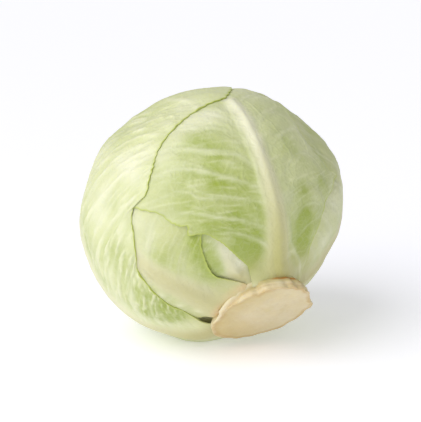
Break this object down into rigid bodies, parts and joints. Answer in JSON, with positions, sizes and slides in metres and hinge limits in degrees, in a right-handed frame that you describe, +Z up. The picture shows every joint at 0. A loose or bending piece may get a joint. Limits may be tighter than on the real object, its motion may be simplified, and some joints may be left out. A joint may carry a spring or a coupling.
{
  "type": "cabbage head",
  "caption": "Head of white cabbage lying on its side: wrapper leaves lapping one over another, cut stem turned down to the front, tight heart inside.",
  "frame": {"origin": "on the ground under the middle of the head's bounding box", "axes": "+Z up; the cut stem points down towards -Y and +X, at 56 degrees from +X towards -Y and 40.5 degrees below the horizon"},
  "size_m": [0.1674, 0.1578, 0.1607],
  "materials": {
    "wrapper_leaf": "waxy green leaf, cream ribs and veins",
    "under_leaf": "waxy pale green leaf, cream ribs and veins",
    "inner_leaf": "smooth pale leaf, whitish ribs",
    "heart": "smooth, creamy",
    "stem": "matt cut stem, cream with a browned rim"
  },
  "bodies": {
    "root": {"left_wrapper_leaf": "wrapper_leaf", "front_wrapper_leaf": "wrapper_leaf", "underside_leaf": "under_leaf", "lower_left_leaf": "under_leaf", "right_leaf": "under_leaf", "inner_leaf_1": "inner_leaf", "inner_leaf_2": "inner_leaf", "inner_leaf_3": "inner_leaf", "inner_leaf_4": "inner_leaf", "inner_leaf_5": "inner_leaf", "inner_leaf_6": "inner_leaf", "inner_leaf_7": "inner_leaf", "heart": "heart", "stem": "stem"}
  },
  "joints": []
}
